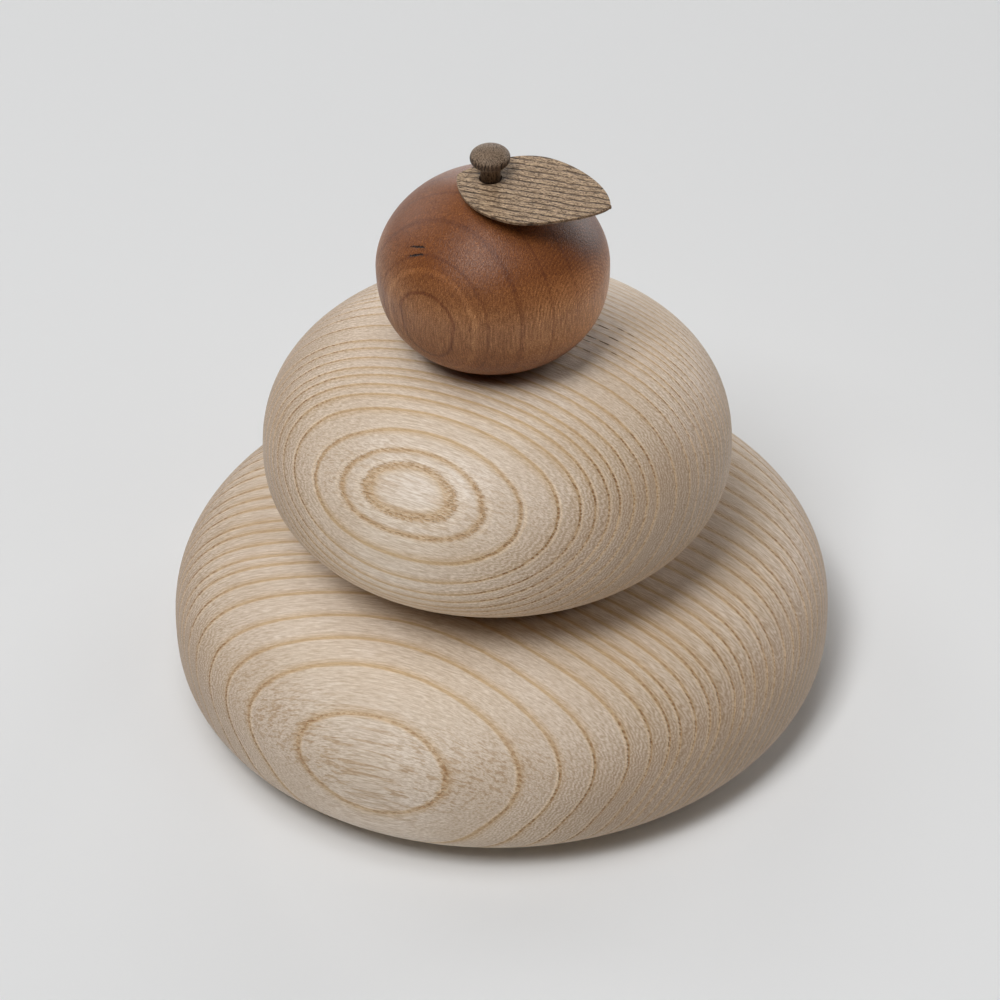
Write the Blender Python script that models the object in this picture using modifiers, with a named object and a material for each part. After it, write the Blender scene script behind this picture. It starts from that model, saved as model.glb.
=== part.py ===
"""A turned wooden kagami mochi: a pair of flattened rounds, an orange, its leaf and its stem.

Metres, +Z up. The origin is on the turning axis, at the foot of the lower round.
"""

import math

import bpy

MM = 0.001
COLLECTION = "kagami_mochi"

# Space left between pieces that touch.
GAP = 0.3 * MM

# Lower round: the widest circle is at the waist, and the foot and the seat are turned flat.
LOWER_RADIUS = 60.0 * MM
LOWER_WAIST = 12.9 * MM
LOWER_SEAT = 33.85 * MM
LOWER_CROWN = 21.1 * MM
LOWER_CROWN_POWER = 2.78
LOWER_BELLY = 14.0 * MM
LOWER_BELLY_POWER = 3.2

# Upper round, standing on the lower one's seat.
UPPER_RADIUS = 41.8 * MM
UPPER_WAIST = 50.7 * MM
UPPER_FOOT = LOWER_SEAT + GAP
UPPER_SEAT = 73.35 * MM
UPPER_CROWN = 22.8 * MM
UPPER_CROWN_POWER = 2.46
UPPER_BELLY = 17.6 * MM
UPPER_BELLY_POWER = 2.38

# Orange, standing on the upper round's seat, with a socket in its top for the stem.
ORANGE_RADIUS = 20.2 * MM
ORANGE_WAIST = 89.6 * MM
ORANGE_FOOT = UPPER_SEAT + GAP
ORANGE_CROWN = 16.7 * MM
ORANGE_CROWN_POWER = 1.8
ORANGE_BELLY = 16.6 * MM
ORANGE_BELLY_POWER = 2.52
SOCKET_DEPTH = 6.0 * MM

# Leaf: a thin flat plate with a hole that the stem passes through. Along its length it runs
# from the blunt base, behind the hole, to the tip. Its halves aren't quite alike.
LEAF_THICKNESS = 0.6 * MM
LEAF_BASE = 5.7 * MM
LEAF_TIP = 22.2 * MM
LEAF_HALF_WIDTH = 9.95 * MM
LEAF_MIDLINE_OFFSET = -0.9 * MM
LEAF_TURN = math.radians(-22.4)
LEAF_BASE_HANDLE = 0.9 * MM
LEAF_TIP_ROUND = 0.35 * MM
# For each half: how far along its widest point is, and how far the outline's handles reach from
# there towards the base and the tip, and from the tip backwards and outwards.
LEAF_BACK_HALF = {
    "widest": 6.7 * MM,
    "to_base": 7.1 * MM,
    "to_tip": 5.0 * MM,
    "from_tip": (2.1 * MM, 5.5 * MM),
}
LEAF_FRONT_HALF = {
    "widest": 7.8 * MM,
    "to_base": 10.3 * MM,
    "to_tip": 5.0 * MM,
    "from_tip": (0.2 * MM, 2.4 * MM),
}

# Stem: a peg with a flattened round head.
PEG_RADIUS = 1.75 * MM
PEG_CLEARANCE = 0.2 * MM
PEG_CHAMFER = 0.3 * MM
HEAD_RADIUS = 3.45 * MM
HEAD_HALF_HEIGHT = 1.9 * MM
HEAD_LIFT = 4.1 * MM
HEAD_POWER = 2.1

# Facets of each turned piece: around the axis, and along half a profile.
MOCHI_SEGMENTS = 64
MOCHI_STEPS = 11
ORANGE_SEGMENTS = 48
ORANGE_STEPS = 10
STEM_SEGMENTS = 24
STEM_STEPS = 6
LEAF_STEPS = 12

# Points of one solid that are nearer than this are merged.
TURN_MERGE = 0.01 * MM
LEAF_MERGE = 0.001 * MM

# Each wood's colour and roughness.
PALE_WOOD = ((0.58, 0.47, 0.35), 0.55)
RED_WOOD = ((0.30, 0.12, 0.06), 0.45)
BROWN_WOOD = ((0.20, 0.14, 0.085), 0.6)

# Heights worked out from the sizes above.
ORANGE_TOP = ORANGE_WAIST + ORANGE_CROWN
LEAF_UNDERSIDE = ORANGE_TOP + GAP
LEAF_TOP = LEAF_UNDERSIDE + LEAF_THICKNESS
HEAD_CENTRE = LEAF_TOP + HEAD_LIFT
SOCKET_RADIUS = PEG_RADIUS + GAP
SOCKET_FLOOR = ORANGE_TOP - SOCKET_DEPTH
LEAF_HOLE_RADIUS = PEG_RADIUS + PEG_CLEARANCE

# Handle length that makes four curve points a circle.
CIRCLE_HANDLE = 4 / 3 * (math.sqrt(2) - 1)


def clear_scene():
    for item in list(bpy.data.objects):
        bpy.data.objects.remove(item, do_unlink=True)


def new_collection(name):
    collection = bpy.data.collections.new(name)
    bpy.context.scene.collection.children.link(collection)
    return collection


def new_wood(name, colour, roughness):
    wood = bpy.data.materials.new(name)
    wood.use_nodes = True
    shader = wood.node_tree.nodes["Principled BSDF"]
    shader.inputs["Base Color"].default_value = (*colour, 1)
    shader.inputs["Roughness"].default_value = roughness
    shader.inputs["Metallic"].default_value = 0
    return wood


def quarter(radius, waist, depth, power, end_angle, steps):
    """Points of a quarter superellipse, from the waist to end_angle. A negative depth goes down."""
    points = []
    for step in range(steps + 1):
        angle = end_angle * step / steps
        across = radius * math.cos(angle) ** (2 / power)
        along = depth * math.sin(angle) ** (2 / power)
        points.append((across, waist + along))
    return points


def cut_angle(share, power):
    """The angle at which a quarter superellipse has risen to this share of its full depth."""
    return math.asin(share ** (power / 2))


def round_profile(radius, waist, crown, crown_power, top, belly, belly_power, foot, steps):
    """The outer side of a turned round, from the rim of its flat top down to the rim of its flat foot."""
    top_angle = cut_angle((top - waist) / crown, crown_power)
    foot_angle = cut_angle((waist - foot) / belly, belly_power)
    upper = quarter(radius, waist, crown, crown_power, top_angle, steps)
    lower = quarter(radius, waist, -belly, belly_power, foot_angle, steps)
    return upper[::-1] + lower[1:]


def turned(name, profile, segments, wood, collection):
    """A solid of revolution about Z, from (radius, height) points that run down its outer side."""
    mesh = bpy.data.meshes.new(name)
    points = [(radius, 0, height) for radius, height in profile]
    edges = [(i, i + 1) for i in range(len(points) - 1)]
    mesh.from_pydata(points, edges, [])
    solid = bpy.data.objects.new(name, mesh)
    collection.objects.link(solid)
    mesh.materials.append(wood)
    screw = solid.modifiers.new("turn", "SCREW")
    screw.axis = "Z"
    screw.angle = math.tau
    screw.steps = segments
    screw.render_steps = segments
    screw.use_merge_vertices = True
    screw.merge_threshold = TURN_MERGE
    screw.use_smooth_shade = True
    return solid


def mochi_round(name, sizes, foot, seat, wood, collection):
    radius, waist, crown, crown_power, belly, belly_power = sizes
    side = round_profile(
        radius, waist, crown, crown_power, seat, belly, belly_power, foot, MOCHI_STEPS
    )
    profile = [(0, seat), *side, (0, foot)]
    return turned(name, profile, MOCHI_SEGMENTS, wood, collection)


def socket_rim_share():
    """How high the orange's crown has risen where the socket's wall meets it."""
    across = (SOCKET_RADIUS / ORANGE_RADIUS) ** ORANGE_CROWN_POWER
    return (1 - across) ** (1 / ORANGE_CROWN_POWER)


def orange(wood, collection):
    rim = ORANGE_WAIST + ORANGE_CROWN * socket_rim_share()
    side = round_profile(
        ORANGE_RADIUS,
        ORANGE_WAIST,
        ORANGE_CROWN,
        ORANGE_CROWN_POWER,
        rim,
        ORANGE_BELLY,
        ORANGE_BELLY_POWER,
        ORANGE_FOOT,
        ORANGE_STEPS,
    )
    socket = [(0, SOCKET_FLOOR), (SOCKET_RADIUS, SOCKET_FLOOR)]
    return turned("orange", [*socket, *side, (0, ORANGE_FOOT)], ORANGE_SEGMENTS, wood, collection)


def stem(wood, collection):
    neck_share = (1 - (PEG_RADIUS / HEAD_RADIUS) ** HEAD_POWER) ** (1 / HEAD_POWER)
    neck_angle = cut_angle(neck_share, HEAD_POWER)
    upper = quarter(HEAD_RADIUS, HEAD_CENTRE, HEAD_HALF_HEIGHT, HEAD_POWER, math.pi / 2, STEM_STEPS)
    lower = quarter(HEAD_RADIUS, HEAD_CENTRE, -HEAD_HALF_HEIGHT, HEAD_POWER, neck_angle, STEM_STEPS)
    peg_end = SOCKET_FLOOR + GAP
    peg = [(PEG_RADIUS, peg_end + PEG_CHAMFER), (PEG_RADIUS - PEG_CHAMFER, peg_end), (0, peg_end)]
    crown = [(0, HEAD_CENTRE + HEAD_HALF_HEIGHT), *upper[-2::-1]]
    return turned("stem", [*crown, *lower[1:], *peg], STEM_SEGMENTS, wood, collection)


def add_closed_spline(curve, knots):
    """A closed Bezier spline from (point, handle before, handle after) triples."""
    spline = curve.splines.new("BEZIER")
    spline.bezier_points.add(len(knots) - 1)
    spline.use_cyclic_u = True
    for knot, (point, before, after) in zip(spline.bezier_points, knots):
        knot.handle_left_type = "FREE"
        knot.handle_right_type = "FREE"
        knot.co = (*point, 0)
        knot.handle_left = (*before, 0)
        knot.handle_right = (*after, 0)


def leaf_half_knots(half, sign):
    """The widest knot and the tip knot of one half: sign is 1 for the +Y half and -1 for the -Y half."""
    width = sign * LEAF_HALF_WIDTH
    widest = (
        (half["widest"], width),
        (half["widest"] - half["to_base"], width),
        (half["widest"] + half["to_tip"], width),
    )
    back, out = half["from_tip"]
    tip_start = LEAF_TIP - LEAF_TIP_ROUND
    tip = (
        (tip_start, sign * LEAF_TIP_ROUND),
        (tip_start - back, sign * (LEAF_TIP_ROUND + out)),
        (LEAF_TIP, sign * LEAF_TIP_ROUND / 2),
    )
    return widest, tip


def leaf_knots():
    """Knots of the outline, clockwise from the base, with the hole at (0, 0)."""
    base = (
        (-LEAF_BASE, 0),
        (-LEAF_BASE, -LEAF_BASE_HANDLE),
        (-LEAF_BASE, LEAF_BASE_HANDLE),
    )
    back_half = leaf_half_knots(LEAF_BACK_HALF, 1)
    front_half = leaf_half_knots(LEAF_FRONT_HALF, -1)
    returning = [(point, after, before) for point, before, after in reversed(front_half)]
    knots = [base, *back_half, *returning]
    return [tuple((x, y + LEAF_MIDLINE_OFFSET) for x, y in knot) for knot in knots]


def circle_knots(radius):
    knots = []
    for turn in range(4):
        angle = turn * math.pi / 2
        out = (math.cos(angle), math.sin(angle))
        side = (-out[1] * CIRCLE_HANDLE, out[0] * CIRCLE_HANDLE)
        point = (radius * out[0], radius * out[1])
        before = (radius * (out[0] - side[0]), radius * (out[1] - side[1]))
        after = (radius * (out[0] + side[0]), radius * (out[1] + side[1]))
        knots.append((point, before, after))
    return knots


def leaf(wood, collection):
    curve = bpy.data.curves.new("leaf", "CURVE")
    curve.dimensions = "2D"
    curve.fill_mode = "BOTH"
    curve.resolution_u = LEAF_STEPS
    curve.extrude = LEAF_THICKNESS / 2
    add_closed_spline(curve, leaf_knots())
    add_closed_spline(curve, circle_knots(LEAF_HOLE_RADIUS))
    curve.materials.append(wood)
    plate = bpy.data.objects.new("leaf", curve)
    plate.location = (0, 0, (LEAF_UNDERSIDE + LEAF_TOP) / 2)
    plate.rotation_euler = (0, 0, LEAF_TURN)
    collection.objects.link(plate)
    weld = plate.modifiers.new("weld", "WELD")
    weld.merge_threshold = LEAF_MERGE
    return plate


def main():
    clear_scene()
    collection = new_collection(COLLECTION)
    pale_wood = new_wood("pale_wood", *PALE_WOOD)
    red_wood = new_wood("red_wood", *RED_WOOD)
    brown_wood = new_wood("brown_wood", *BROWN_WOOD)
    lower_sizes = (
        LOWER_RADIUS,
        LOWER_WAIST,
        LOWER_CROWN,
        LOWER_CROWN_POWER,
        LOWER_BELLY,
        LOWER_BELLY_POWER,
    )
    upper_sizes = (
        UPPER_RADIUS,
        UPPER_WAIST,
        UPPER_CROWN,
        UPPER_CROWN_POWER,
        UPPER_BELLY,
        UPPER_BELLY_POWER,
    )
    mochi_round("lower_mochi", lower_sizes, 0, LOWER_SEAT, pale_wood, collection)
    mochi_round("upper_mochi", upper_sizes, UPPER_FOOT, UPPER_SEAT, pale_wood, collection)
    orange(red_wood, collection)
    leaf(brown_wood, collection)
    stem(brown_wood, collection)


main()
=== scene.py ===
import math

import bpy
from mathutils import Matrix, Vector


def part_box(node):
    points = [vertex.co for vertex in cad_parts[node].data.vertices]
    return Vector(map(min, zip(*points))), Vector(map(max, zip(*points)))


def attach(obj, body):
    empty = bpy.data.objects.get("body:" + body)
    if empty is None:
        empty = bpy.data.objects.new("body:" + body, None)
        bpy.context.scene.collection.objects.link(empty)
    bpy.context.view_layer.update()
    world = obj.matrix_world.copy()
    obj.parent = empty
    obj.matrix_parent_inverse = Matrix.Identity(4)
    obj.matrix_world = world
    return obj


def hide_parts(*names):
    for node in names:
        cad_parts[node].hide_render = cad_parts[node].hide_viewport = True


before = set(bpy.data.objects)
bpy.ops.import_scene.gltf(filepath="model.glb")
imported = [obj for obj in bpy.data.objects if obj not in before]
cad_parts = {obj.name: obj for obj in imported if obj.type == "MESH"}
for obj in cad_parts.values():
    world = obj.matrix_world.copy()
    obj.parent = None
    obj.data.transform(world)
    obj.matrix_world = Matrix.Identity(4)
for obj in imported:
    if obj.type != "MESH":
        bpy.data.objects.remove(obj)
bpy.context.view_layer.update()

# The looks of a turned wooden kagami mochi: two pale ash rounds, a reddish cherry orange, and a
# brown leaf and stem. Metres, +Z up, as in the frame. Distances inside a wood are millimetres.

MM = 0.001
BODY = "root"

# ---------------------------------------------------------------------------- driving sizes

# Each turned round: where its widest circle lies, and how deep and how square its two halves are.
LOWER = {"waist": 12.9 * MM, "crown": (21.1 * MM, 2.78), "belly": (14.0 * MM, 3.2)}
UPPER = {"waist": 50.7 * MM, "crown": (22.8 * MM, 2.46), "belly": (17.6 * MM, 2.38)}
ORANGE = {"waist": 89.6 * MM, "crown": (16.7 * MM, 1.8), "belly": (16.6 * MM, 2.52)}
SOCKET_DEPTH = 6.0 * MM
SOCKET_RADIUS = 2.05 * MM

# Stem: a peg with a flattened round head.
PEG_RADIUS = 1.75 * MM
PEG_CHAMFER = 0.3 * MM
HEAD_RADIUS = 3.45 * MM
HEAD_HALF_HEIGHT = 1.9 * MM
HEAD_POWER = 2.1

# Leaf: its outline is drawn from the base, behind the hole at (0, 0), to the tip.
LEAF_BASE = 5.7 * MM
LEAF_TIP = 22.2 * MM
LEAF_HALF_WIDTH = 9.95 * MM
LEAF_MIDLINE_OFFSET = -0.9 * MM
LEAF_TURN = math.radians(-22.4)
LEAF_BASE_HANDLE = 0.9 * MM
LEAF_TIP_ROUND = 0.35 * MM
LEAF_HOLE_RADIUS = 1.95 * MM
LEAF_EASE = 0.12 * MM
LEAF_BACK_HALF = {
    "widest": 6.7 * MM,
    "to_base": 7.1 * MM,
    "to_tip": 5.0 * MM,
    "from_tip": (2.1 * MM, 5.5 * MM),
}
LEAF_FRONT_HALF = {
    "widest": 7.8 * MM,
    "to_base": 10.3 * MM,
    "to_tip": 5.0 * MM,
    "from_tip": (0.2 * MM, 2.4 * MM),
}

# Fineness of the meshes.
ROUND_SEGMENTS = 288
ROUND_STEPS = 60
STEM_SEGMENTS = 96
STEM_STEPS = 24
LEAF_STEPS = 48
LEAF_EASE_STEPS = 2
CIRCLE_HANDLE = 4 / 3 * (math.sqrt(2) - 1)
MERGE = 0.001 * MM

# Camera: looks at the middle of the stack from in front and above, turned a little about its view.
CAMERA_ELEVATION = math.radians(39.083)
CAMERA_DISTANCE = 0.7
CAMERA_ROLL = math.radians(-1.464)
CAMERA_TARGET = Vector((0.2 * MM, 0, 36.9 * MM))
CAMERA_LENS = 139.47
CAMERA_SENSOR = 36.0
CAMERA_CLIP = (0.01, 20)


# ---------------------------------------------------------------------------- shapes

def quarter(radius, waist, depth, power, end_angle, steps):
    """Points of a quarter superellipse, from the waist to end_angle. A negative depth goes down."""
    points = []
    for step in range(steps + 1):
        angle = end_angle * step / steps
        across = radius * math.cos(angle) ** (2 / power)
        along = depth * math.sin(angle) ** (2 / power)
        points.append((across, waist + along))
    return points


def cut_angle(share, power):
    """The angle at which a quarter superellipse has risen to this share of its full depth."""
    return math.asin(min(share, 1.0) ** (power / 2))


def round_side(radius, sizes, top, foot):
    """The outer side of a turned round, from the rim of its top down to the rim of its foot."""
    waist = sizes["waist"]
    crown, crown_power = sizes["crown"]
    belly, belly_power = sizes["belly"]
    top_angle = cut_angle((top - waist) / crown, crown_power)
    foot_angle = cut_angle((waist - foot) / belly, belly_power)
    upper = quarter(radius, waist, crown, crown_power, top_angle, ROUND_STEPS)
    lower = quarter(radius, waist, -belly, belly_power, foot_angle, ROUND_STEPS)
    return upper[::-1] + lower[1:]


def turned(name, profile, segments):
    """A solid of revolution about Z, from (radius, height) points that run down its outer side."""
    mesh = bpy.data.meshes.new(name)
    points = [(radius, 0, height) for radius, height in profile]
    edges = [(i, i + 1) for i in range(len(points) - 1)]
    mesh.from_pydata(points, edges, [])
    solid = bpy.data.objects.new(name, mesh)
    bpy.context.scene.collection.objects.link(solid)
    screw = solid.modifiers.new("turn", "SCREW")
    screw.axis = "Z"
    screw.angle = math.tau
    screw.steps = segments
    screw.render_steps = segments
    screw.use_merge_vertices = True
    screw.merge_threshold = MERGE
    screw.use_smooth_shade = True
    return solid


def stand_in_for(piece, node, material):
    """The piece takes a CAD node's place, rides with the body and gets its material."""
    piece.data.materials.append(material)
    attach(piece, BODY)
    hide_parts(node)


def mochi_round(node, sizes, material):
    """One of the two pale rounds, closed by its top and its foot."""
    low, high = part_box(node)
    side = round_side(high.x, sizes, high.z, low.z)
    piece = turned(node + "_turned", [(0, high.z), *side, (0, low.z)], ROUND_SEGMENTS)
    stand_in_for(piece, node, material)


def orange_fruit(material):
    """The orange, with a socket in its top for the stem's peg."""
    low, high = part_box("orange")
    radius = high.x
    crown, power = ORANGE["crown"]
    rim = ORANGE["waist"] + crown * (1 - (SOCKET_RADIUS / radius) ** power) ** (1 / power)
    floor = ORANGE["waist"] + crown - SOCKET_DEPTH
    side = round_side(radius, ORANGE, rim, low.z)
    socket = [(0, floor), (SOCKET_RADIUS, floor)]
    piece = turned("orange_turned", [*socket, *side, (0, low.z)], ROUND_SEGMENTS)
    stand_in_for(piece, "orange", material)


def stem(material):
    """The peg and its head in one, with a chamfer round the foot of the peg."""
    low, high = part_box("stem")
    centre = high.z - HEAD_HALF_HEIGHT
    neck_share = (1 - (PEG_RADIUS / HEAD_RADIUS) ** HEAD_POWER) ** (1 / HEAD_POWER)
    neck_angle = cut_angle(neck_share, HEAD_POWER)
    upper = quarter(HEAD_RADIUS, centre, HEAD_HALF_HEIGHT, HEAD_POWER, math.pi / 2, STEM_STEPS)
    lower = quarter(HEAD_RADIUS, centre, -HEAD_HALF_HEIGHT, HEAD_POWER, neck_angle, STEM_STEPS)
    peg = [
        (PEG_RADIUS, low.z + PEG_CHAMFER),
        (PEG_RADIUS - PEG_CHAMFER, low.z),
        (0, low.z),
    ]
    crown = [(0, high.z), *upper[-2::-1]]
    piece = turned("stem_turned", [*crown, *lower[1:], *peg], STEM_SEGMENTS)
    stand_in_for(piece, "stem", material)


def add_closed_spline(curve, knots):
    """A closed Bezier spline from (point, handle before, handle after) triples."""
    spline = curve.splines.new("BEZIER")
    spline.bezier_points.add(len(knots) - 1)
    spline.use_cyclic_u = True
    for knot, (point, before, after) in zip(spline.bezier_points, knots):
        knot.handle_left_type = "FREE"
        knot.handle_right_type = "FREE"
        knot.co = (*point, 0)
        knot.handle_left = (*before, 0)
        knot.handle_right = (*after, 0)


def leaf_half_knots(half, sign):
    """The widest knot and the tip knot of one half. The sign is that of Y on the half's side."""
    width = sign * LEAF_HALF_WIDTH
    widest = (
        (half["widest"], width),
        (half["widest"] - half["to_base"], width),
        (half["widest"] + half["to_tip"], width),
    )
    back, out = half["from_tip"]
    tip_start = LEAF_TIP - LEAF_TIP_ROUND
    tip = (
        (tip_start, sign * LEAF_TIP_ROUND),
        (tip_start - back, sign * (LEAF_TIP_ROUND + out)),
        (LEAF_TIP, sign * LEAF_TIP_ROUND / 2),
    )
    return widest, tip


def leaf_knots():
    """Knots of the outline, clockwise from the base, with the hole at (0, 0)."""
    base = (
        (-LEAF_BASE, 0),
        (-LEAF_BASE, -LEAF_BASE_HANDLE),
        (-LEAF_BASE, LEAF_BASE_HANDLE),
    )
    back_half = leaf_half_knots(LEAF_BACK_HALF, 1)
    front_half = leaf_half_knots(LEAF_FRONT_HALF, -1)
    returning = [(point, after, before) for point, before, after in reversed(front_half)]
    knots = [base, *back_half, *returning]
    return [tuple((x, y + LEAF_MIDLINE_OFFSET) for x, y in knot) for knot in knots]


def circle_knots(radius):
    knots = []
    for turn in range(4):
        angle = turn * math.pi / 2
        out = (math.cos(angle), math.sin(angle))
        side = (-out[1] * CIRCLE_HANDLE, out[0] * CIRCLE_HANDLE)
        point = (radius * out[0], radius * out[1])
        before = (radius * (out[0] - side[0]), radius * (out[1] - side[1]))
        after = (radius * (out[0] + side[0]), radius * (out[1] + side[1]))
        knots.append((point, before, after))
    return knots


def leaf(material):
    """The leaf's plate, with its edges eased all round, as one mesh."""
    low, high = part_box("leaf")
    curve = bpy.data.curves.new("leaf_outline", "CURVE")
    curve.dimensions = "2D"
    curve.fill_mode = "BOTH"
    curve.resolution_u = LEAF_STEPS
    curve.bevel_depth = LEAF_EASE
    curve.bevel_resolution = LEAF_EASE_STEPS
    curve.offset = -LEAF_EASE
    curve.extrude = (high.z - low.z) / 2 - LEAF_EASE
    add_closed_spline(curve, leaf_knots())
    add_closed_spline(curve, circle_knots(LEAF_HOLE_RADIUS))
    outline = bpy.data.objects.new("leaf_outline", curve)
    turn = Matrix.Rotation(LEAF_TURN, 4, "Z")
    outline.matrix_world = Matrix.Translation((0, 0, (low.z + high.z) / 2)) @ turn
    bpy.context.scene.collection.objects.link(outline)
    bpy.context.view_layer.update()
    evaluated = outline.evaluated_get(bpy.context.evaluated_depsgraph_get())
    mesh = bpy.data.meshes.new_from_object(evaluated)
    mesh.transform(outline.matrix_world)
    bpy.data.objects.remove(outline)
    piece = bpy.data.objects.new("leaf_blade", mesh)
    bpy.context.scene.collection.objects.link(piece)
    weld = piece.modifiers.new("weld", "WELD")
    weld.merge_threshold = MERGE
    mesh.materials.clear()
    stand_in_for(piece, "leaf", material)


# ---------------------------------------------------------------------------- shader graph

class Graph:
    """A material's node tree, with short calls for the nodes that the woods need."""

    def __init__(self, name):
        self.material = bpy.data.materials.new(name)
        self.material.use_nodes = True
        self.tree = self.material.node_tree
        self.shader = self.tree.nodes["Principled BSDF"]

    def feed(self, socket, value):
        if isinstance(value, bpy.types.NodeSocket):
            self.tree.links.new(value, socket)
        elif socket.type == "RGBA":
            socket.default_value = (*value, 1)
        else:
            socket.default_value = value

    def node(self, kind, **settings):
        node = self.tree.nodes.new(kind)
        for name, value in settings.items():
            setattr(node, name, value)
        return node

    def math(self, operation, *values):
        node = self.node("ShaderNodeMath", operation=operation)
        for socket, value in zip(node.inputs, values):
            self.feed(socket, value)
        return node.outputs[0]

    def times(self, first, *others):
        for other in others:
            first = self.math("MULTIPLY", first, other)
        return first

    def sine(self, turns, swing=0.5):
        """A sine that swings about a half."""
        wave = self.math("SINE", self.math("MULTIPLY", turns, math.tau))
        return self.math("MULTIPLY_ADD", wave, swing, 0.5)

    def vector(self, operation, *values):
        node = self.node("ShaderNodeVectorMath", operation=operation)
        for socket, value in zip(node.inputs, values):
            self.feed(socket, value)
        wanted = "Value" if operation in ("DOT_PRODUCT", "LENGTH") else "Vector"
        return node.outputs[wanted]

    def scaled(self, vector, amount):
        node = self.node("ShaderNodeVectorMath", operation="SCALE")
        self.feed(node.inputs[0], vector)
        self.feed(node.inputs["Scale"], amount)
        return node.outputs[0]

    def combine(self, x, y, z):
        node = self.node("ShaderNodeCombineXYZ")
        for socket, value in zip(node.inputs, (x, y, z)):
            self.feed(socket, value)
        return node.outputs[0]

    def parts(self, vector):
        node = self.node("ShaderNodeSeparateXYZ")
        self.feed(node.inputs[0], vector)
        return node.outputs

    def surface(self, kind):
        """Where the surface lies, "Object", in metres, or which way it faces, "Normal"."""
        return self.node("ShaderNodeTexCoord").outputs[kind]

    def spot(self, centre):
        """Where the surface lies, in mm from the centre."""
        return self.scaled(self.vector("SUBTRACT", self.surface("Object"), centre), 1 / MM)

    def noise(self, vector, scale, detail=2.0, rough=0.5):
        node = self.node("ShaderNodeTexNoise")
        self.feed(node.inputs["Vector"], vector)
        self.feed(node.inputs["Scale"], scale)
        self.feed(node.inputs["Detail"], detail)
        self.feed(node.inputs["Roughness"], rough)
        return node.outputs["Fac"]

    def grain(self, place, ripples, detail=2.0, rough=0.5):
        """Noise with this many ripples to the mm: from the core, round it, and along the trunk."""
        return self.noise(self.vector("MULTIPLY", place, ripples), 1.0, detail, rough)

    def cells(self, x, y):
        """Distance to the nearest of a flat scatter of points, about one to each unit square."""
        node = self.node("ShaderNodeTexVoronoi", voronoi_dimensions="2D")
        self.feed(node.inputs["Vector"], self.combine(x, y, 0.0))
        self.feed(node.inputs["Scale"], 1.0)
        return node.outputs["Distance"]

    def step(self, value, start, end, low=0.0, high=1.0):
        """Goes smoothly from low to high as value goes from start to end."""
        node = self.node("ShaderNodeMapRange", interpolation_type="SMOOTHSTEP")
        for socket, number in zip(node.inputs, (value, start, end, low, high)):
            self.feed(socket, number)
        return node.outputs[0]

    def curve(self, value, points, reach, peak):
        """A broken line through (value, result) points: values go up to reach, results to peak."""
        node = self.node("ShaderNodeFloatCurve")
        line = node.mapping.curves[0]
        for place, result in points[1:-1]:
            line.points.new(place / reach, result / peak)
        line.points[0].location = (points[0][0] / reach, points[0][1] / peak)
        line.points[-1].location = (points[-1][0] / reach, points[-1][1] / peak)
        for point in line.points:
            point.handle_type = "VECTOR"
        node.mapping.update()
        self.feed(node.inputs["Value"], self.math("DIVIDE", value, reach))
        return self.math("MULTIPLY", node.outputs[0], peak)

    def blend(self, amount, first, second, blend_type="MIX"):
        node = self.node("ShaderNodeMix", data_type="RGBA", blend_type=blend_type)
        self.feed(node.inputs[0], amount)
        self.feed(node.inputs[6], first)
        self.feed(node.inputs[7], second)
        return node.outputs[2]

    def tint(self, colour, amount, full, none=(1.0, 1.0, 1.0)):
        """The colour times a tint that goes from none to full as amount goes from 0 to 1."""
        return self.blend(1.0, colour, self.blend(amount, none, full), "MULTIPLY")

    def raised(self, height, amount, by):
        """The height in mm, raised by so much where amount is 1."""
        return self.math("MULTIPLY_ADD", amount, by, height)

    def finish(self, colour, height, fibre, gloss):
        """The material. gloss is the least and the greatest roughness, and the specular level."""
        least, greatest, level = gloss
        bump = self.node("ShaderNodeBump")
        self.feed(bump.inputs["Height"], height)
        self.feed(bump.inputs["Distance"], MM)
        self.feed(self.shader.inputs["Base Color"], colour)
        self.feed(self.shader.inputs["Roughness"], self.step(fibre, 0.2, 0.8, least, greatest))
        self.feed(self.shader.inputs["Normal"], bump.outputs[0])
        self.shader.inputs["Specular IOR Level"].default_value = level
        return self.material


# ---------------------------------------------------------------------------- trunks

# Each wood is a block cut from a trunk. Azimuths go from +X towards the front, in degrees, lengths
# are in mm, and places are counted from the middle of the piece.
#   trunk: the way the trunk runs, as azimuth and rise
#   pith: where its core lies, across the trunk and up
#   bend: how the core curves away at 1 mm along the trunk, growing with the square
#   swell: a thickening of the trunk, as height, place along the trunk and half width
#   lean: how the rings tilt about one place, as the place, the slope and the reach
#   round_core: the radius at which lengths round the core are true
#   seed: where in the noise the unevenness of the rings is taken
# The ash rounds have rings with widths:
#   first_ring: the radius of the first ring edge of the bull's-eye
#   growing: whether the rings go on from there towards the bark, or towards the core
#   rings: the widths of the bull's-eye's rings
#   ring_mean: the mean width of the rings past them
#   wide_years: a run of wider rings, as the ring in its middle, how many rings and what they gain
#   radii: the least and the greatest radius in the piece
# and looks of their own:
#   tone: how bright the wood is
#   face_tone, streaks: tints where the surface faces the core, and of the long streaks there
#   early_wood, late_wood: the widths of these two bands of a ring where the surface faces the core
#   painted_seam_shade_radii: the radii at which the painted shade at the seams starts to fade and
#       ends, on top and at the foot
#   dark_pores: a patch of long open pores, as its middle and its radius

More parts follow.
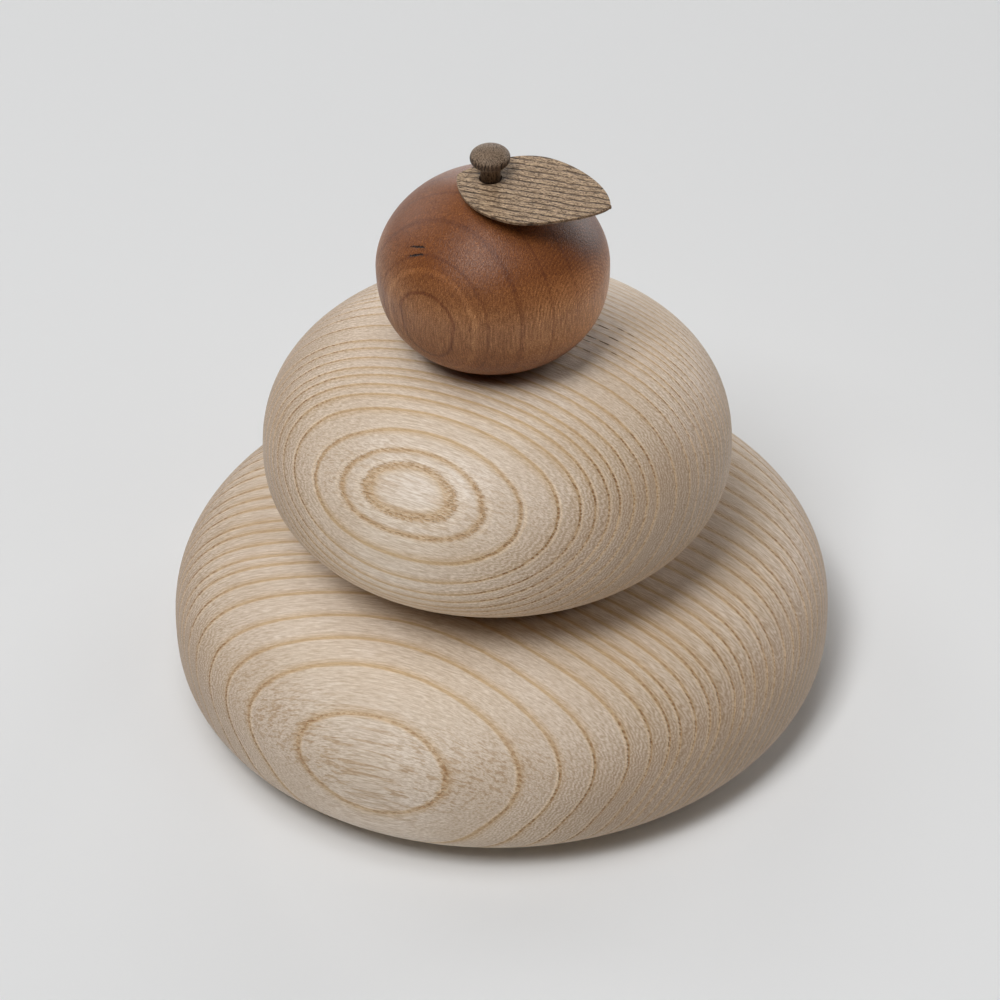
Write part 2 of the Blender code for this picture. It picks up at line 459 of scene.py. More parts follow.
LOWER_FIGURE = {
    "trunk": (22.22, 2.26),
    "pith": (-47.7, -53.2),
    "bend": (-0.00267, 0.00352),
    "swell": (3.33, -2.87, 25.05),
    "round_core": 105.0,
    "seed": 3.0,
    "first_ring": 123.3,
    "growing": False,
    "rings": (5.2, 3.4, 3.2, 3.5, 2.5, 2.2),
    "ring_mean": 1.8,
    "radii": (20.0, 128.0),
    "tone": 0.995,
    "face_tone": (0.885, 0.875, 0.865),
    "streaks": (0.80, 0.71, 0.60),
    "early_wood": 0.38,
    "late_wood": 0.55,
    "painted_seam_shade_radii": (27.0, 31.0, 39.0, 42.0),
}
UPPER_FIGURE = {
    "trunk": (27.5, -2.6),
    "pith": (87.4, 65.8),
    "lean": ((-15.0, -32.3, 14.5), (-0.03, -0.09, -0.07), 18.0),
    "round_core": 85.0,
    "seed": 11.0,
    "first_ring": 73.40,
    "growing": True,
    "rings": (0.9, 2.1, 2.8, 2.1, 1.6, 1.7),
    "ring_mean": 1.85,
    "wide_years": (11.6, 1.3, 1.9),
    "radii": (70.0, 160.0),
    "tone": 1.045,
    "face_tone": (0.95, 0.955, 0.965),
    "streaks": (0.87, 0.81, 0.74),
    "early_wood": 0.25,
    "late_wood": 0.15,
    "painted_seam_shade_radii": (11.0, 14.5, 27.0, 31.0),
    "dark_pores": ((19.2, 1.0, 21.3), 8.0),
}
ORANGE_FIGURE = {
    "trunk": (-54.3, 82.5),
    "pith": (0.0, -78.0),
    "bend": (0.0, 0.017),
    "round_core": 95.0,
    "seed": 5.0,
}
LEAF_FIGURE = {
    "trunk": (19.0, 0.0),
    "pith": (30.0, -60.0),
    "round_core": 70.0,
}
STEM_FIGURE = {
    "trunk": (0.0, 88.0),
    "pith": (30.0, 10.0),
    "round_core": 30.0,
}
STRAIGHT = (0.0, 0.0)

# Past the stated rings, the widths sway by this share, by this angle from ring to ring.
RING_UNEVEN = 0.3
RING_RHYTHM = 2.4

# No ring is wider than this, in mm.
RING_WIDEST = 8.0

# How the radius wanders: ripples to the mm, from the core, round it and along the trunk.
DRIFT = (0.06, 0.05, 0.025)
FRAY = (0.5, 0.55, 0.12)


def trunk_axes(azimuth, rise):
    """Unit vectors along the trunk, level across it, and upwards across it."""
    az = math.radians(azimuth)
    el = math.radians(rise)
    along = Vector((math.cos(el) * math.cos(az), -math.cos(el) * math.sin(az), math.sin(el)))
    across = along.cross(Vector((0, 0, 1))).normalized()
    up = across.cross(along)
    return along, across, up


def trunk_place(g, figure, centre):
    """The place in the trunk, in mm: from the core, round the core, and along the trunk.

    With it come how far the surface cuts across the fibres, and how far it faces the core: both
    go from 0 to 1.
    """
    axes = trunk_axes(*figure["trunk"])
    spot = g.spot(centre)
    normal = g.surface("Normal")
    along, across, up = (g.vector("DOT_PRODUCT", spot, axis) for axis in axes)
    facing = [g.vector("DOT_PRODUCT", normal, axis) for axis in axes]
    square = g.times(along, along)
    cores = []
    for distance, core, bend in zip((across, up), figure["pith"], figure.get("bend", STRAIGHT)):
        bent = g.math("MULTIPLY_ADD", square, bend, distance)
        cores.append(g.math("SUBTRACT", bent, core))
    from_core = g.combine(0.0, *cores)
    radius = g.vector("LENGTH", from_core)
    cut = g.times(facing[0], facing[0])
    flat = g.math("DIVIDE", g.vector("DOT_PRODUCT", from_core, g.combine(*facing)), radius)
    if "swell" in figure:
        radius = swell(g, radius, along, *figure["swell"])
    if "lean" in figure:
        radius = lean(g, radius, spot, *figure["lean"])
    angle = g.math("ARCTAN2", cores[1], cores[0])
    place = g.combine(radius, g.times(angle, figure["round_core"]), along)
    return place, cut, g.math("ABSOLUTE", flat)


def swell(g, radius, along, height, middle, half_width):
    """The radius, greater where the trunk is thicker."""
    off = g.math("DIVIDE", g.math("SUBTRACT", along, middle), half_width)
    fall = g.math("EXPONENT", g.times(off, off, -1.0))
    return g.math("MULTIPLY_ADD", fall, height, radius)


def lean(g, radius, spot, middle, slope, reach):
    """The radius, with a slope about one place that fades out at the reach."""
    off = g.vector("SUBTRACT", spot, middle)
    near = g.step(g.vector("LENGTH", off), 0.0, reach, 1.0, 0.0)
    return g.math("ADD", radius, g.times(near, g.vector("DOT_PRODUCT", off, slope)))


def uneven(g, figure, place, wander, ripple):
    """The radius, drifting by up to wander over some cm and by up to ripple over some mm."""
    start = (figure["seed"], 0.0, 0.0)
    drift = g.noise(g.vector("MULTIPLY_ADD", place, DRIFT, start), 1.0, 1.0)
    fray = g.noise(g.vector("MULTIPLY_ADD", place, FRAY, start), 1.0, 2.0)
    radius = g.parts(place)[0]
    for field, amount in ((drift, wander), (fray, ripple)):
        radius = g.math("MULTIPLY_ADD", g.math("SUBTRACT", field, 0.5), 2 * amount, radius)
    return radius


def ring_width(figure, number):
    """The width of a ring past the stated ones, in mm."""
    width = figure["ring_mean"] * (1 + RING_UNEVEN * math.sin(RING_RHYTHM * number))
    if "wide_years" in figure:
        middle, years, gain = figure["wide_years"]
        width += gain * math.exp(-(((number - middle) / years) ** 2))
    return width


def ring_radii(figure):
    """Radii of the ring edges from the core outwards."""
    side = 1 if figure["growing"] else -1
    radii = [figure["first_ring"]]
    for width in figure["rings"]:
        radii.append(radii[-1] + side * width)
    inner, outer = figure["radii"]
    while inner < radii[-1] < outer:
        radii.append(radii[-1] + side * ring_width(figure, len(radii)))
    radii = sorted(radius for radius in radii if inner < radius < outer)
    return [inner, *radii, outer]


def rings(g, figure, radius):
    """(ring number, mm outwards from the ring's inner edge, mm inwards from its outer edge)."""
    radii = ring_radii(figure)
    near = radii[0]
    reach = radii[-1] - near
    radius = g.math("SUBTRACT", radius, near)
    steps = [(edge - near, number) for number, edge in enumerate(radii)]
    count = g.curve(radius, steps, reach, len(radii))
    widths = [(0.0, radii[1] - near)]
    for inner, outer in zip(radii[1:-1], radii[2:]):
        widths.append(((inner + outer) / 2 - near, outer - inner))
    widths.append((reach, widths[-1][1]))
    width = g.curve(radius, widths, reach, RING_WIDEST)
    inside = g.times(g.math("FRACT", count), width)
    return g.math("FLOOR", count), inside, g.math("SUBTRACT", width, inside)


# ---------------------------------------------------------------------------- ash

# The noises of the ash, in ripples to the mm: from the core, round it, and along the trunk.
ASH_GRAIN = {
    "fibre": (4.6, 4.6, 0.45),
    "streak": (1.7, 1.7, 0.06),
    "speck": (5.0, 5.0, 1.2),
    "cloud": (0.12, 0.08, 0.04),
    "sway": (0.5, 0.75, 0.09),
}
ASH_UNEVEN = (0.2, 0.1)

# Where a look starts and where it is full, by how far the surface faces the core or cuts across
# the fibres: the look of a face, open pores, end grain, and thinner bands in the rings.
FACE = (0.80, 0.97)
OPEN_GRAIN = (0.02, 0.2)
END_GRAIN = (0.28, 0.58)
THIN_BANDS = (0.05, 0.35)

# The fine waves between the rings: waves to the mm, and how many waves the sway shifts them.
WAVES = 2.1
WAVE_SWAY = 3.4

# The row of pores that starts a ring: where its middle lies and how wide it is to either side, and
# how dense the pores are round the trunk and along it, to the mm. Ring by ring they are shifted.
PORE_ROW = 0.17
PORE_DENSITY = (2.1, 1.1)
PORE_SIZE = 0.42
PORE_SHIFT = 17.3
DARK_PORE_DENSITY = (0.9, 0.28)
DARK_PORE_SHIFT = 7.3

# The bands of a ring, in mm: the early wood from its inner edge, the pale line after it, and the
# late wood up to the outer edge.
EARLY_WOOD = 0.38
EARLY_BLUR = 0.12
# The pale line is partly paler wood and partly a painted highlight where light catches the pore
# walls.
PALE_GLINT_START = (0.26, 0.36)
PALE_GLINT_END = (0.42, 0.62)
LATE_WOOD = 0.8

# The wood itself, where the surface runs with the fibres, dips into them, and cuts them across.
# Along the fibres the colour is partly the wood's paler side grain and partly a painted silky
# sheen.
ASH_WITH_FIBRES_AND_SHEEN = (0.700, 0.588, 0.472)
ASH_DIPPING = (0.636, 0.518, 0.402)
ASH_END_GRAIN = (0.495, 0.380, 0.282)

# What each feature does to the colour where it is full, and where it is missing.
ASH_CLOUD = ((0.97, 0.96, 0.94), (1.03, 1.04, 1.06))
ASH_FIBRE = ((0.83, 0.78, 0.72), (1.12, 1.15, 1.19))
ASH_WAVY = ((0.925, 0.905, 0.88), (1.05, 1.06, 1.08))
ASH_WAVE = ((0.865, 0.83, 0.775), (1.135, 1.17, 1.225))

# What a feature does to the colour where it is full.
ASH_LATE = (0.93, 0.86, 0.75)
# The pale line's tint is partly paler wood and partly a painted highlight on the pore walls.
ASH_PALE_GLINT = (1.20, 1.19, 1.13)
ASH_FINE_PORES = (0.93, 0.89, 0.85)
ASH_DARK_PORES = (0.16, 0.11, 0.07)
# Painted shade in the crevices where a round sits on its neighbour or on the floor.
ASH_PAINTED_SEAM_SHADE = (0.42, 0.34, 0.29)

# The same for the early wood and the pores in it, on a side, on end grain, and facing the core.
ASH_EARLY = ((0.85, 0.73, 0.54), (1.10, 1.05, 0.95), (0.93, 0.82, 0.66))
ASH_VESSEL = ((0.66, 0.52, 0.38), (0.84, 0.75, 0.63), (0.92, 0.84, 0.74))

# How far each feature stands out, in mm.
ASH_RELIEF = {
    "grain": 0.05,
    "wave": -0.02,
    "fine_pores": -0.04,
    "vessel": -0.12,
    "dark_pores": -0.2,
}
ASH_GLOSS = (0.42, 0.52, 0.36)


def ash(name, figure, centre):
    """Pale ring-porous wood: pore rows at each ring, silky fibres and wavy late wood, with painted
    sheen on side grain, painted highlights beside the pores and painted shade at the seams.
    """
    g = Graph(name)
    place, cut, flat = trunk_place(g, figure, centre)
    number, inside, outside = rings(g, figure, uneven(g, figure, place, *ASH_UNEVEN))
    around, along = g.parts(place)[1:]
    face = g.step(flat, *FACE)
    open_grain = g.math("MAXIMUM", face, g.step(cut, *OPEN_GRAIN))
    end_grain = g.step(cut, *END_GRAIN)

    fibre = g.grain(place, ASH_GRAIN["fibre"], rough=0.7)
    streak = g.grain(place, ASH_GRAIN["streak"], rough=0.6)
    speck = g.grain(place, ASH_GRAIN["speck"], detail=1.0)
    cloud = g.grain(place, ASH_GRAIN["cloud"])
    wavy, wave = waves(g, place, inside, face, cut)
    vessel = g.times(pore_row(g, number, inside, around, along), open_grain)
    early, late, fine_pores = ring_bands(g, figure, inside, outside, face, cut)
    fine_pores = g.times(fine_pores, g.step(speck, 0.48, 0.60), face)
    # The pale line: partly paler wood and partly a painted highlight beside the pore row, strongest
    # on end grain.
    pale = g.times(
        g.math("MAXIMUM", g.step(inside, *PALE_GLINT_START), end_grain),
        g.step(inside, *PALE_GLINT_END, 1.0, 0.0),
        g.step(cut, 0.02, 0.25, 0.2, 1.0),
    )

    # Painted sheen: the side grain is paler than the wood alone, for the silky sheen of its fibres.
    colour = g.blend(g.step(cut, 0.0, 0.06), ASH_WITH_FIBRES_AND_SHEEN, ASH_DIPPING)
    colour = g.blend(g.step(cut, 0.04, 0.55), colour, ASH_END_GRAIN)
    colour = g.tint(colour, 1.0, (figure["tone"],) * 3)
    colour = g.tint(colour, g.step(cloud, 0.3, 0.7), *ASH_CLOUD)
    contrast = g.step(open_grain, 0.0, 1.0, 1.2, 1.9)
    lines = g.times(g.math("SUBTRACT", fibre, 0.5), contrast)
    colour = g.tint(colour, g.step(lines, -0.3, 0.3), *ASH_FIBRE)
    colour = g.tint(colour, g.times(g.step(streak, 0.50, 0.62), face), figure["streaks"])
    colour = g.tint(colour, face, figure["face_tone"])
    colour = g.tint(colour, wavy, *ASH_WAVY)
    colour = g.tint(colour, wave, *ASH_WAVE)
    colour = g.tint(colour, late, ASH_LATE)
    # The pale line, partly a painted highlight.
    colour = g.tint(colour, pale, ASH_PALE_GLINT)
    colour = g.tint(colour, early, by_lie(g, ASH_EARLY, end_grain, face))
    colour = g.tint(colour, fine_pores, ASH_FINE_PORES)
    colour = g.tint(colour, vessel, by_lie(g, ASH_VESSEL, end_grain, face))

    height = g.times(g.math("ADD", fibre, speck), ASH_RELIEF["grain"])
    height = g.raised(height, wave, ASH_RELIEF["wave"])
    height = g.raised(height, fine_pores, ASH_RELIEF["fine_pores"])
    height = g.raised(height, vessel, ASH_RELIEF["vessel"])
    if "dark_pores" in figure:
        dashes = dark_pores(g, centre, number, around, along, *figure["dark_pores"])
        dashes = g.times(dashes, g.step(inside, 0.16, 0.28, 1.0, 0.0))
        colour = g.tint(colour, dashes, ASH_DARK_PORES)
        height = g.raised(height, dashes, ASH_RELIEF["dark_pores"])
    # Painted shade darkens the crevices at the round's top and foot.
    colour = g.tint(colour, painted_seam_shade(g, *figure["painted_seam_shade_radii"]), ASH_PAINTED_SEAM_SHADE)
    return g.finish(colour, height, fibre, ASH_GLOSS)


def waves(g, place, inside, face, cut):
    """How wavy the wood is, from 0 to 1, and its fine wavy lines, which follow the rings."""
    sway = g.grain(place, ASH_GRAIN["sway"], rough=0.55)
    turns = g.math("MULTIPLY_ADD", sway, WAVE_SWAY, g.times(inside, WAVES))
    wavy = g.times(g.math("SUBTRACT", 1.0, face), g.step(cut, 0.0, 0.25, 0.35, 1.0))
    swing = g.times(wavy, g.step(inside, 0.3, 0.8, 0.0, 0.5))
    return wavy, g.sine(turns, swing)


def scatter(g, number, around, along, density, shift):
    """Distance to the nearest of the pores that lie about in a ring, in pore spacings."""
    density_around, density_along = density
    shifted = g.math("MULTIPLY_ADD", number, shift, around)
    return g.cells(g.times(shifted, density_around), g.times(along, density_along))


def pore_row(g, number, inside, around, along):
    """1 on the pores of the row at the start of a ring: ovals along the fibres."""
    distance = scatter(g, number, around, along, PORE_DENSITY, PORE_SHIFT)
    off_row = g.math("DIVIDE", g.math("SUBTRACT", inside, PORE_ROW), PORE_ROW)
    off_axis = g.math("DIVIDE", distance, PORE_SIZE)
    return g.step(g.vector("LENGTH", g.combine(off_row, off_axis, 0.0)), 0.6, 1.15, 1.0, 0.0)


def ring_bands(g, figure, inside, outside, face, cut):
    """1 in the early wood, in the late wood, and in both for their fine pores."""
    thin = g.step(cut, *THIN_BANDS, 1.0, 0.6)
    early_width = g.step(face, 0.0, 1.0, EARLY_WOOD, figure["early_wood"])
    early = g.math("SUBTRACT", g.math("DIVIDE", inside, thin), early_width)
    early = g.step(early, -EARLY_BLUR, EARLY_BLUR, 1.0, 0.0)
    late_width = g.step(face, 0.0, 1.0, LATE_WOOD, figure["late_wood"])
    to_edge = g.math("DIVIDE", outside, late_width)
    late = g.step(to_edge, 0.0, 1.0, g.step(cut, *THIN_BANDS, 1.0, 0.4), 0.0)
    fine_pores = g.math("MAXIMUM", early, g.step(to_edge, 0.0, 0.6, 1.0, 0.0))
    return early, late, fine_pores


def by_lie(g, tints, end_grain, face):
    """One tint of three: on a side of the wood, on end grain, and where it faces the core."""
    side, end, facing = tints
    return g.blend(face, g.blend(end_grain, side, end), facing)


def dark_pores(g, centre, number, around, along, middle, reach):
    """1 on the long open pores that lie within reach of the middle."""
    off = g.vector("LENGTH", g.vector("SUBTRACT", g.spot(centre), middle))
    distance = scatter(g, number, around, along, DARK_PORE_DENSITY, DARK_PORE_SHIFT)
    dash = g.step(distance, 0.20, 0.36, 1.0, 0.0)
    return g.times(dash, g.step(off, 0.5 * reach, reach, 1.0, 0.0))


def painted_seam_shade(g, top_full, top_edge, foot_full, foot_edge):
    """1 where painted shade falls as a round's top or foot closes on its neighbour, at radii in mm,
    and 0 in the open.
    """
    across = g.vector("MULTIPLY", g.surface("Object"), (1 / MM, 1 / MM, 0.0))
    radius = g.vector("LENGTH", across)
    upwards = g.step(g.parts(g.surface("Normal"))[2], -0.1, 0.1)
    top = g.times(g.step(radius, top_full, top_edge, 1.0, 0.0), upwards)
    foot = g.step(radius, foot_full, foot_edge, 1.0, 0.0)
    return g.math("MAXIMUM", top, g.times(foot, g.math("SUBTRACT", 1.0, upwards)))


# ---------------------------------------------------------------------------- cherry

# Ring lines of the orange: the radius and the half width, in mm, and how dark the line is. A
# negative darkness is a pale line.
ORANGE_LINES = (
    (97.55, 0.09, 0.80),
    (96.45, 0.20, -1.00),
    (95.50, 0.14, 0.50),
    (92.35, 0.38, 0.46),
    (88.30, 0.22, 0.50),
    (83.75, 0.30, 0.40),
    (79.20, 0.30, 0.35),
    (75.00, 0.30, 0.30),
    (70.50, 0.30, 0.30),
)
DARK_LINE = (0.55, 0.42, 0.36)
PALE_LINE = (1.3, 1.4, 1.5)

# Two short dark cracks in the orange: azimuth from the front to the right, and slope to the right,
# in degrees, and height over the waist and half length, in mm.
ORANGE_CRACKS = ((-55.6, 28.0, 9.85, 1.80), (-53.2, 35.0, 8.88, 1.80))
CRACK_HALF_WIDTH = 0.17

# The fine arcs of the orange's right side: the point that they go round, in mm from the middle of
# the orange, how many there are to the mm, and how many arcs the sway shifts them.
ARCS_MIDDLE = (16.3, -11.8, -2.0)
ARCS = 1.55
ARCS_SWAY = 2.0

# The noises of the cherry, in ripples to the mm: from the core, round it, and along the trunk.
CHERRY_GRAIN = {
    "fibre": (4.6, 4.6, 0.35),
    "fleck": (2.6, 5.5, 0.6),
    "cloud": (0.14, 0.12, 0.06),
}
CHERRY_SPECK = 6.5
CHERRY_UNEVEN = (0.05, 0.04)

# The wood itself, where the surface runs with the fibres, dips into them, and cuts them across.
CHERRY_WITH_FIBRES = (0.310, 0.127, 0.0425)
CHERRY_DIPPING = (0.255, 0.095, 0.0300)
CHERRY_END_GRAIN = (0.176, 0.053, 0.0114)

# The wood's tone goes over from the inner to the outer one between these two radii, in mm.
CHERRY_TONE_RADII = (80.0, 97.0)

# What each feature does to the colour where it is full, and where it is missing.
CHERRY_OUTER = ((0.78, 0.78, 0.82), (1.45, 1.5, 1.55))
CHERRY_CLOUD = ((0.94, 0.92, 0.90), (1.06, 1.08, 1.10))
CHERRY_FIBRE = ((0.73, 0.66, 0.60), (1.30, 1.37, 1.45))
CHERRY_FLECK = ((1.22, 1.26, 1.3), (0.98, 0.98, 0.98))
CHERRY_SPECKS = ((0.68, 0.62, 0.57), (1.33, 1.40, 1.47))
CHERRY_ARCS = ((0.80, 0.76, 0.72), (1.07, 1.08, 1.1))
CHERRY_CRACK = (0.08, 0.08, 0.12)

# How far each feature stands out, in mm.
CHERRY_RELIEF = {"grain": 0.04, "crack": -0.3}
CHERRY_GLOSS = (0.30, 0.45, 0.34)


def cherry(name, figure, centre):
    """Reddish brown wood with quiet rings and fine fibres, oiled to a satin sheen."""
    g = Graph(name)
    place, cut = trunk_place(g, figure, centre)[:2]
    radius = uneven(g, figure, place, *CHERRY_UNEVEN)
    spot = g.spot(centre)
    fibre = g.grain(place, CHERRY_GRAIN["fibre"], rough=0.7)
    fleck = g.grain(place, CHERRY_GRAIN["fleck"], detail=1.0)
    cloud = g.grain(place, CHERRY_GRAIN["cloud"])
    speck = g.noise(spot, CHERRY_SPECK, 1.0)

    colour = g.blend(g.step(cut, 0.0, 0.12), CHERRY_WITH_FIBRES, CHERRY_DIPPING)
    colour = g.tint(colour, g.step(radius, *CHERRY_TONE_RADII), *CHERRY_OUTER)
    colour = g.blend(g.step(cut, 0.08, 0.34), colour, CHERRY_END_GRAIN)
    colour = g.tint(colour, g.step(cloud, 0.3, 0.7), *CHERRY_CLOUD)
    colour = g.tint(colour, g.step(fibre, 0.28, 0.72), *CHERRY_FIBRE)
    colour = g.tint(colour, g.step(fleck, 0.56, 0.72), *CHERRY_FLECK)
    colour = g.tint(colour, g.step(speck, 0.3, 0.7), *CHERRY_SPECKS)
    colour = g.tint(colour, arcs(g, spot), *CHERRY_ARCS)
    for middle, half_width, darkness in ORANGE_LINES:
        off = g.math("ABSOLUTE", g.math("SUBTRACT", radius, middle))
        line = g.step(off, 0.2 * half_width, 1.3 * half_width, abs(darkness), 0.0)
        colour = g.tint(colour, line, DARK_LINE if darkness > 0 else PALE_LINE)
    height = g.times(g.math("ADD", fibre, g.math("ADD", fleck, speck)), CHERRY_RELIEF["grain"])
    for sizes in ORANGE_CRACKS:
        inner = crack(g, spot, *sizes)
        colour = g.tint(colour, inner, CHERRY_CRACK)
        height = g.raised(height, inner, CHERRY_RELIEF["crack"])
    return g.finish(colour, height, fibre, CHERRY_GLOSS)


def arcs(g, spot):
    """Fine arcs about one point, which fade out away from it and towards the foot."""
    from_middle = g.vector("LENGTH", g.vector("SUBTRACT", spot, ARCS_MIDDLE))
    turns = g.math("MULTIPLY_ADD", g.noise(spot, 0.3), ARCS_SWAY, g.times(from_middle, ARCS))
    near = g.step(from_middle, 11.0, 20.0, 1.0, 0.0)
    return g.times(g.sine(turns), near, g.step(g.parts(spot)[2], -3.0, 2.0))


def crack(g, spot, azimuth, slope, height, half_length):
    """1 on a thin dark crack in the orange's side, 0 off it. The spot is in mm from its middle."""
    crown, power = ORANGE["crown"]
    rise = height * MM / crown
    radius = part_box("orange")[1].x / MM * (1 - rise ** power) ** (1 / power)
    az = math.radians(azimuth)
    out = Vector((math.sin(az), -math.cos(az), 0))
    level = Vector((math.cos(az), math.sin(az), 0))
    upright = (Vector((0, 0, 1)) - out * rise ** (power - 1) * 2).normalized()
    way = level * math.cos(math.radians(slope)) + upright * math.sin(math.radians(slope))
    from_middle = g.vector("SUBTRACT", spot, out * radius + Vector((0, 0, height)))
    ragged = g.math("SUBTRACT", g.noise(spot, 2.2, 2.0, 0.7), 0.5)
    along = g.vector("DOT_PRODUCT", from_middle, way)
    aside = g.vector("LENGTH", g.vector("SUBTRACT", from_middle, g.scaled(way, along)))
    aside = g.math("MULTIPLY_ADD", ragged, 0.5, aside)
    inner = g.step(aside, 0.5 * CRACK_HALF_WIDTH, 1.3 * CRACK_HALF_WIDTH, 1.0, 0.0)
    along = g.math("ABSOLUTE", along)
    return g.times(inner, g.step(along, 0.8 * half_length, half_length, 1.0, 0.0))


# ---------------------------------------------------------------------------- walnut

# The noises of the walnut, in ripples to the mm: from the core, round it, and along the trunk.
WALNUT_GRAIN = {
    "fibre": (5.0, 5.0, 0.9),
    "speck": (5.5, 5.5, 2.4),
    "gaps": (1.4, 1.4, 0.35),
    "sway": (0.10, 0.25, 0.18),
}
LEAF_PALE = (0.328, 0.230, 0.144)
STEM_PALE = (0.17, 0.118, 0.078)

# How many dark lines there are to the mm, and how many lines the sway shifts them.
LEAF_LINES = 0.72
STEM_LINES = 1.6
LINES_SWAY = 1.0

# What each feature does to the colour where it is full, and where it is missing.
WALNUT_FIBRE = ((0.46, 0.42, 0.38), (1.56, 1.60, 1.64))
# Painted shade on the upright sides of the leaf's edge and of the stem.
WALNUT_UPRIGHT_SHADE = ((0.50, 0.42, 0.36), (1.03, 1.03, 1.03))
WALNUT_LINE = ((0.30, 0.26, 0.24), (1.05, 1.05, 1.05))
WALNUT_PORES = ((0.26, 0.22, 0.20), (1.14, 1.14, 1.14))

# How far each feature stands out, in mm.
WALNUT_RELIEF = {"grain": 0.06, "line": -0.05}
WALNUT_GLOSS = (0.5, 0.65, 0.3)


def walnut(name, figure, centre, pale, line_density):
    """Grey brown wood of the pale colour with dark wavy lines along it and open pores, and painted
    shade on its upright sides.
    """
    g = Graph(name)
    place, cut = trunk_place(g, figure, centre)[:2]
    fibre = g.grain(place, WALNUT_GRAIN["fibre"], rough=0.7)
    speck = g.grain(place, WALNUT_GRAIN["speck"], detail=1.0)
    gaps = g.grain(place, WALNUT_GRAIN["gaps"], rough=0.6)
    sway = g.grain(place, WALNUT_GRAIN["sway"])
    around = g.parts(place)[1]
    wave = g.sine(g.math("MULTIPLY_ADD", sway, LINES_SWAY, g.times(around, line_density)))
    line = g.times(
        g.step(wave, 0.66, 0.96),
        g.step(gaps, 0.32, 0.48),
        g.step(cut, 0.1, 0.4, 1.0, 0.0),
    )
    level = g.math("ABSOLUTE", g.parts(g.surface("Normal"))[2])

    colour = g.tint(pale, g.step(fibre, 0.28, 0.72), *WALNUT_FIBRE)
    # Painted shade: the more upright the surface, the darker.
    colour = g.tint(colour, g.step(level, 0.1, 0.6, 1.0, 0.0), *WALNUT_UPRIGHT_SHADE)
    colour = g.tint(colour, line, *WALNUT_LINE)
    colour = g.tint(colour, g.step(speck, 0.34, 0.46, 1.0, 0.0), *WALNUT_PORES)
    height = g.times(g.math("ADD", fibre, speck), WALNUT_RELIEF["grain"])
    height = g.raised(height, line, WALNUT_RELIEF["line"])
    return g.finish(colour, height, fibre, WALNUT_GLOSS)


# ---------------------------------------------------------------------------- studio

# The square soft boxes: azimuth from the front to the right and elevation, in degrees, size in
# metres, and power in watts. All lie at one distance and face the middle of the stack.
LIGHT_DISTANCE = 1.4
LIGHTS = {
    "key": (-30, 58, 0.45, 9.8),
    "overhead": (-25, 78, 0.7, 5.5),
    "back": (180, 8, 0.8, 6.8),
    "back_right": (135, 8, 0.8, 7.8),
    "back_left": (-135, 22, 0.8, 4.3),
    "right": (60, 42, 0.8, 1.4),
    "left": (-90, 42, 0.8, 0.6),
}

# The floor's paper, and a painted light that makes it a little paler towards the front right, over
# these distances in metres.
FLOOR_HALF = 2.0
PAPER = ((0.778, 0.783, 0.786), (0.798, 0.803, 0.806))
PAPER_CLOUDS = 3.0
PAINTED_LIGHT_WAY = (0.7, -0.7, 0.0)
PAINTED_LIGHT_FROM = (0.01, 0.12)
PAINTED_LIGHT = (1.07, 1.07, 1.07)
PAPER_ROUGHNESS = 0.9
PAPER_SPECULAR = 0.1


def camera():
    view = Vector((0, math.cos(CAMERA_ELEVATION), -math.sin(CAMERA_ELEVATION)))
    level = Vector((1, 0, 0))
    upright = level.cross(view)
    right = level * math.cos(CAMERA_ROLL) + upright * math.sin(CAMERA_ROLL)
    top = upright * math.cos(CAMERA_ROLL) - level * math.sin(CAMERA_ROLL)
    data = bpy.data.cameras.new("camera")
    data.lens = CAMERA_LENS
    data.sensor_width = CAMERA_SENSOR
    data.clip_start, data.clip_end = CAMERA_CLIP
    item = bpy.data.objects.new("camera", data)
    bpy.context.scene.collection.objects.link(item)
    turn = Matrix((right, top, -view)).transposed().to_4x4()
    item.matrix_world = Matrix.Translation(CAMERA_TARGET - view * CAMERA_DISTANCE) @ turn
    bpy.context.scene.camera = item


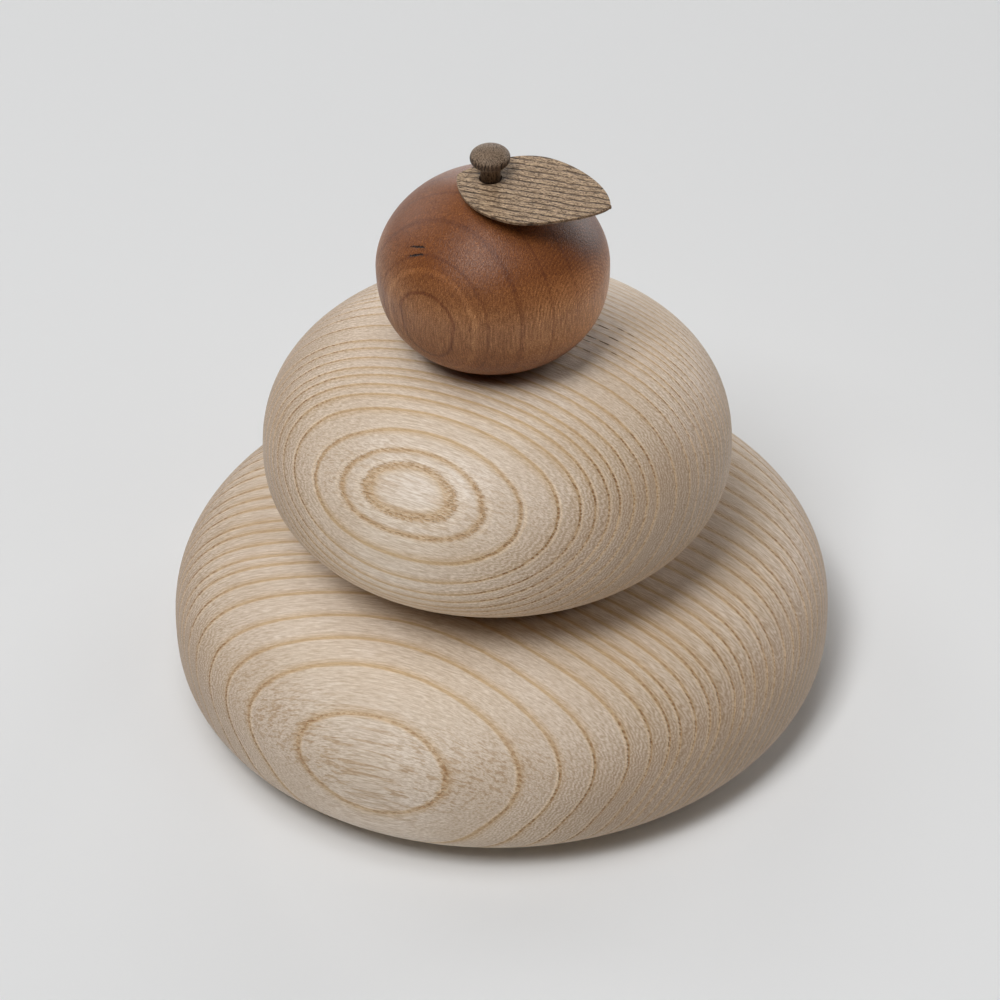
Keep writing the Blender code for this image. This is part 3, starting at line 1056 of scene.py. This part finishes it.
def soft_light(name, azimuth, elevation, size, power):
    az = math.radians(azimuth)
    el = math.radians(elevation)
    way = Vector((math.sin(az) * math.cos(el), -math.cos(az) * math.cos(el), math.sin(el)))
    data = bpy.data.lights.new(name, "AREA")
    data.shape = "SQUARE"
    data.size = size
    data.energy = power
    item = bpy.data.objects.new(name, data)
    bpy.context.scene.collection.objects.link(item)
    item.location = CAMERA_TARGET + way * LIGHT_DISTANCE
    item.rotation_euler = way.to_track_quat("Z", "Y").to_euler()


def studio():
    """The soft boxes in a black surround."""
    world = bpy.data.worlds.new("studio")
    world.use_nodes = True
    world.node_tree.nodes["Background"].inputs["Strength"].default_value = 0.0
    bpy.context.scene.world = world
    for name, sizes in LIGHTS.items():
        soft_light(name, *sizes)
    bpy.context.scene.view_settings.view_transform = "Standard"


def floor():
    corners = [(-1, -1), (1, -1), (1, 1), (-1, 1)]
    mesh = bpy.data.meshes.new("floor")
    mesh.from_pydata([(FLOOR_HALF * x, FLOOR_HALF * y, 0) for x, y in corners], [], [(0, 1, 2, 3)])
    ground = bpy.data.objects.new("floor", mesh)
    bpy.context.scene.collection.objects.link(ground)
    g = Graph("floor_paper")
    place = g.surface("Object")
    paper = g.blend(g.noise(place, PAPER_CLOUDS, 1.0), *PAPER)
    painted_light = g.step(g.vector("DOT_PRODUCT", place, PAINTED_LIGHT_WAY), *PAINTED_LIGHT_FROM)
    # Painted light: the paper is a little paler towards the front right.
    g.feed(g.shader.inputs["Base Color"], g.tint(paper, painted_light, PAINTED_LIGHT))
    g.shader.inputs["Roughness"].default_value = PAPER_ROUGHNESS
    g.shader.inputs["Specular IOR Level"].default_value = PAPER_SPECULAR
    mesh.materials.append(g.material)


def main():
    lower_centre = (0, 0, LOWER["waist"])
    upper_centre = (0, 0, UPPER["waist"])
    orange_centre = (0, 0, ORANGE["waist"])
    leaf_centre = (0, 0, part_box("leaf")[0].z)
    mochi_round("lower_mochi", LOWER, ash("ash_lower", LOWER_FIGURE, lower_centre))
    mochi_round("upper_mochi", UPPER, ash("ash_upper", UPPER_FIGURE, upper_centre))
    orange_fruit(cherry("cherry", ORANGE_FIGURE, orange_centre))
    leaf(walnut("walnut_leaf", LEAF_FIGURE, leaf_centre, LEAF_PALE, LEAF_LINES))
    stem(walnut("walnut_stem", STEM_FIGURE, leaf_centre, STEM_PALE, STEM_LINES))
    camera()
    studio()
    floor()


main()
